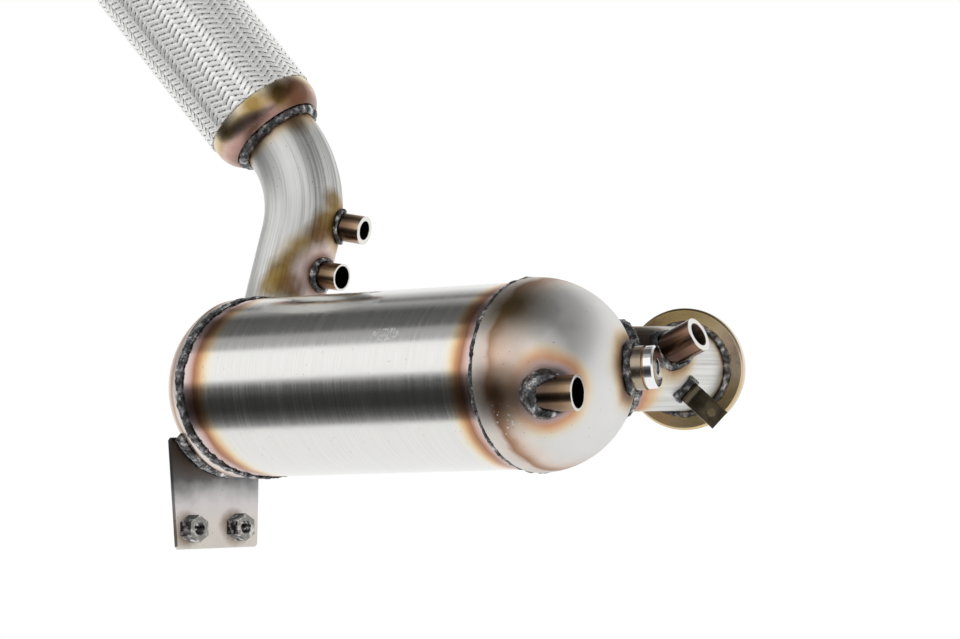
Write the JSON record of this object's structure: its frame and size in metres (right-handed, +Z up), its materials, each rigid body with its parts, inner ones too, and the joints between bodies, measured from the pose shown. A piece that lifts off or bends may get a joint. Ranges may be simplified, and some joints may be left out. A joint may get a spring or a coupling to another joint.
{
  "type": "diesel particulate filter",
  "caption": "Round steel exhaust filter canister with domed ends, flanged inlet elbow, S-shaped outlet pipe with a braided flexible coupling, sensor ports and a bolt-on bracket.",
  "frame": {"origin": "midway between the two bracket bolts, on the bracket face that bolts to the engine", "axes": "+X along the canister from its outlet end to its inlet end, +Y across it, +Z up"},
  "size_m": [0.6161, 0.2207, 0.5134],
  "materials": {
    "shell_steel": "brushed round",
    "dome_steel": "satin, heat tint",
    "pipe_steel": "satin drawn tube",
    "tinted_steel": "turned, straw tint",
    "bronze_tint": "dark heat tint",
    "tab_steel": "satin, heat tint",
    "collar_steel": "pressed, tinted",
    "braid_wire": "bright woven wire",
    "bracket_steel": "satin sheet",
    "nut_steel": "plain, burnt at foot",
    "weld_metal": "rough weld",
    "bright_plug": "bright",
    "copper_washer": "soft copper",
    "oxidation_ceramic": "porous ceramic",
    "filter_ceramic": "porous ceramic",
    "packing_mat": "fibre mat"
  },
  "bodies": {
    "root": {"canister_shell": "shell_steel", "inlet_dome": "dome_steel", "outlet_dome": "dome_steel", "inlet_seam_weld": "weld_metal", "outlet_seam_weld": "weld_metal", "oxidation_brick": "oxidation_ceramic", "oxidation_mat": "packing_mat", "filter_brick": "filter_ceramic", "filter_mat": "packing_mat", "inlet_elbow": "pipe_steel", "inlet_elbow_weld": "weld_metal", "inlet_flange": "tinted_steel", "inlet_flange_weld": "weld_metal", "dome_stub": "bronze_tint", "dome_stub_weld": "weld_metal", "sensor_bung": "tinted_steel", "sensor_bung_weld": "weld_metal", "bung_plug": "bright_plug", "plug_washer": "copper_washer", "lambda_boss": "bronze_tint", "lambda_boss_weld": "weld_metal", "support_tab": "tab_steel", "support_tab_weld": "weld_metal", "outlet_pipe": "pipe_steel", "outlet_pipe_weld": "weld_metal", "outlet_boss": "bronze_tint", "outlet_boss_weld": "weld_metal", "outlet_stub": "bronze_tint", "outlet_stub_weld": "weld_metal", "flex_lower_collar": "collar_steel", "flex_lower_weld": "weld_metal", "flex_bellows": "pipe_steel", "flex_braid": "braid_wire", "flex_upper_collar": "collar_steel", "flex_upper_weld": "weld_metal", "tail_pipe": "pipe_steel", "bracket_plate": "bracket_steel", "bracket_weld": "weld_metal", "weld_nut_front": "nut_steel", "weld_nut_rear": "nut_steel"}
  },
  "joints": []
}
